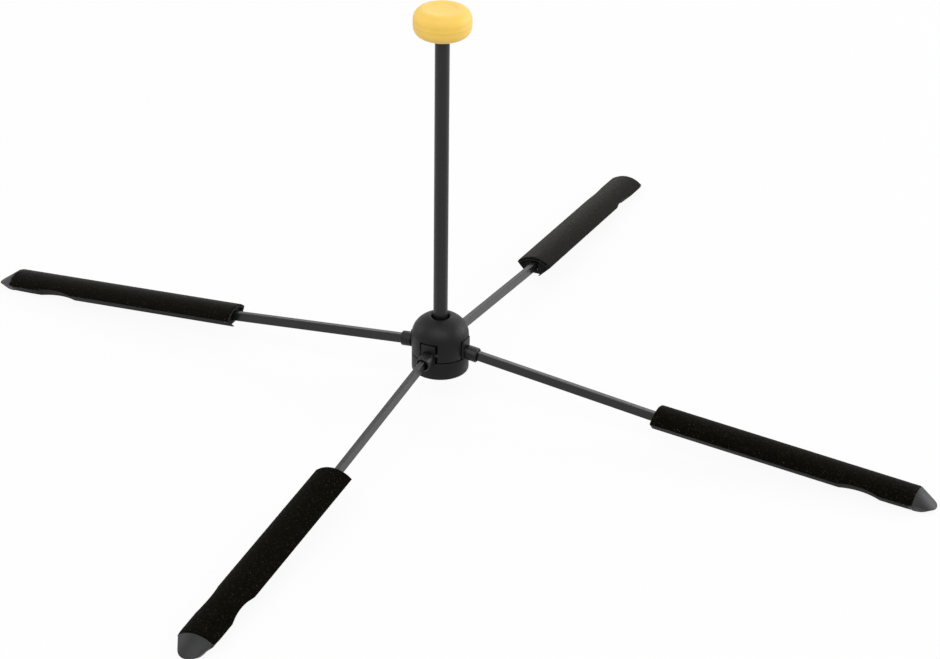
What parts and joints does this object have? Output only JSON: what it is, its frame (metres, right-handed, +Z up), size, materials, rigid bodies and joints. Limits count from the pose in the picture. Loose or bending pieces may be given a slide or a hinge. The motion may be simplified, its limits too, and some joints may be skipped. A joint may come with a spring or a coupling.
{
  "type": "folding instrument stand",
  "caption": "Folding instrument stand with a slim sliding mast, soft round cap, domed hub and flat bar legs with velvet-covered pads that rest on the floor.",
  "frame": {"origin": "on the floor, under the mast's axis", "axes": "+Z up along the mast, +X out along leg 1, +Y out along leg 2"},
  "size_m": [0.5794, 0.5794, 0.2319],
  "materials": {
    "hub_plastic": "fine matte charcoal moulding",
    "socket_plastic": "satin black moulding",
    "pad_plastic": "matte dark grey moulding",
    "velvet": "black velvet with a short pile",
    "rod_lacquer": "semi-gloss black lacquer",
    "tube_lacquer": "satin black lacquer",
    "zinc_steel": "zinc-plated",
    "yellow_rubber": "soft matte yellow rubber"
  },
  "bodies": {
    "hub": {"hub_dome": "hub_plastic", "guide_bush": "hub_plastic", "hinge_pin_1": "zinc_steel", "hinge_pin_2": "zinc_steel", "hinge_pin_3": "zinc_steel", "hinge_pin_4": "zinc_steel"},
    "mast": {"mast_tube": "tube_lacquer", "cup": "hub_plastic", "tube_insert": "zinc_steel", "cup_washer": "zinc_steel", "cup_screw": "zinc_steel", "cap": "yellow_rubber", "cap_plug": "hub_plastic"},
    "leg_1": {"leg_socket_1": "socket_plastic", "leg_rod_1": "rod_lacquer", "pad_shell_1": "pad_plastic", "pad_cover_1": "velvet"},
    "leg_2": {"leg_socket_2": "socket_plastic", "leg_rod_2": "rod_lacquer", "pad_shell_2": "pad_plastic", "pad_cover_2": "velvet"},
    "leg_3": {"leg_socket_3": "socket_plastic", "leg_rod_3": "rod_lacquer", "pad_shell_3": "pad_plastic", "pad_cover_3": "velvet"},
    "leg_4": {"leg_socket_4": "socket_plastic", "leg_rod_4": "rod_lacquer", "pad_shell_4": "pad_plastic", "pad_cover_4": "velvet"}
  },
  "joints": [
    {"name": "mast_slide", "type": "slide", "parent": "hub", "child": "mast", "axis": [0, 0, -1], "range_m": [0, 0.168]},
    {"name": "leg_1_hinge", "type": "hinge", "parent": "hub", "child": "leg_1", "pos_m": [0.01233, 0, 0.02903], "axis": [0, 1, 0], "range_deg": [0, 80.9]},
    {"name": "leg_2_hinge", "type": "hinge", "parent": "hub", "child": "leg_2", "pos_m": [0, 0.01233, 0.02903], "axis": [-1, 0, 0], "range_deg": [0, 80.9]},
    {"name": "leg_3_hinge", "type": "hinge", "parent": "hub", "child": "leg_3", "pos_m": [-0.01233, 0, 0.02903], "axis": [0, -1, 0], "range_deg": [0, 80.9]},
    {"name": "leg_4_hinge", "type": "hinge", "parent": "hub", "child": "leg_4", "pos_m": [0, -0.01233, 0.02903], "axis": [1, 0, 0], "range_deg": [0, 80.9]}
  ],
  "couplings": [
    {"joint": "leg_1_hinge", "follows": "mast_slide", "rad_per_m": 8.404},
    {"joint": "leg_2_hinge", "follows": "mast_slide", "rad_per_m": 8.404},
    {"joint": "leg_3_hinge", "follows": "mast_slide", "rad_per_m": 8.404},
    {"joint": "leg_4_hinge", "follows": "mast_slide", "rad_per_m": 8.404}
  ]
}
